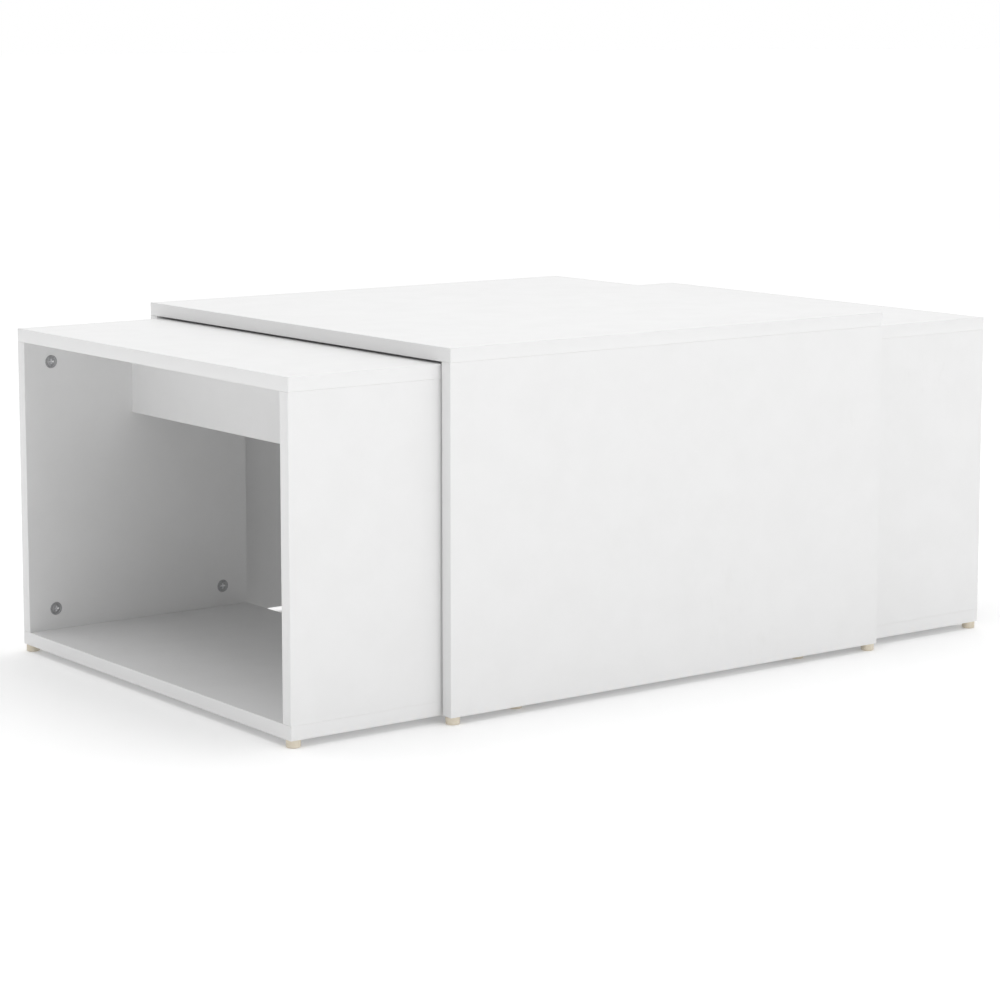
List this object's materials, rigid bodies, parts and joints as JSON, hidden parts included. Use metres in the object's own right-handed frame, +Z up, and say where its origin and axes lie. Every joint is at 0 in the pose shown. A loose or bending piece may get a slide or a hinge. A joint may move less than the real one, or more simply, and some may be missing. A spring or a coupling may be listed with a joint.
{
  "type": "nesting tables",
  "caption": "White nesting coffee tables: small box-shaped side tables slide along the floor into a larger table from both of its open ends.",
  "frame": {"origin": "on the floor, under the middle of the large table", "axes": "+X the way the right small table slides out, +Z up, +Y from the front side board to the back one"},
  "size_m": [0.964, 0.6, 0.388],
  "materials": {
    "white_board": "satin white melamine on chipboard",
    "edge_band": "satin white edge band",
    "cam_lock_zinc": "dull die-cast zinc",
    "bolt_steel": "zinc plated steel",
    "beech_dowel": "plain beech",
    "nail_steel": "bright steel",
    "glide_plastic": "satin cream plastic"
  },
  "bodies": {
    "large_table": {"large_top": "white_board", "large_side_front": "white_board", "large_side_back": "white_board", "large_rail": "white_board", "large_edge_bands": "edge_band", "large_cam_locks": "cam_lock_zinc", "large_cam_bolts": "bolt_steel", "large_dowels": "beech_dowel", "large_glide_nails": "nail_steel", "large_glide_left_front": "glide_plastic", "large_glide_left_back": "glide_plastic", "large_glide_right_front": "glide_plastic", "large_glide_right_back": "glide_plastic"},
    "left_table": {"left_top": "white_board", "left_bottom": "white_board", "left_side_front": "white_board", "left_side_back": "white_board", "left_rail": "white_board", "left_edge_bands": "edge_band", "left_cam_locks": "cam_lock_zinc", "left_cam_bolts": "bolt_steel", "left_dowels": "beech_dowel", "left_glide_nails": "nail_steel", "left_glide_outer_front": "glide_plastic", "left_glide_outer_back": "glide_plastic", "left_glide_inner_front": "glide_plastic", "left_glide_inner_back": "glide_plastic"},
    "right_table": {"right_top": "white_board", "right_bottom": "white_board", "right_side_front": "white_board", "right_side_back": "white_board", "right_rail": "white_board", "right_edge_bands": "edge_band", "right_cam_locks": "cam_lock_zinc", "right_cam_bolts": "bolt_steel", "right_dowels": "beech_dowel", "right_glide_nails": "nail_steel", "right_glide_outer_front": "glide_plastic", "right_glide_outer_back": "glide_plastic", "right_glide_inner_front": "glide_plastic", "right_glide_inner_back": "glide_plastic"}
  },
  "joints": [
    {"name": "left_table_slide", "type": "slide", "parent": "large_table", "child": "left_table", "axis": [-1, 0, 0], "range_m": [-0.182, 0.12]},
    {"name": "right_table_slide", "type": "slide", "parent": "large_table", "child": "right_table", "axis": [1, 0, 0], "range_m": [-0.182, 0.12]}
  ]
}
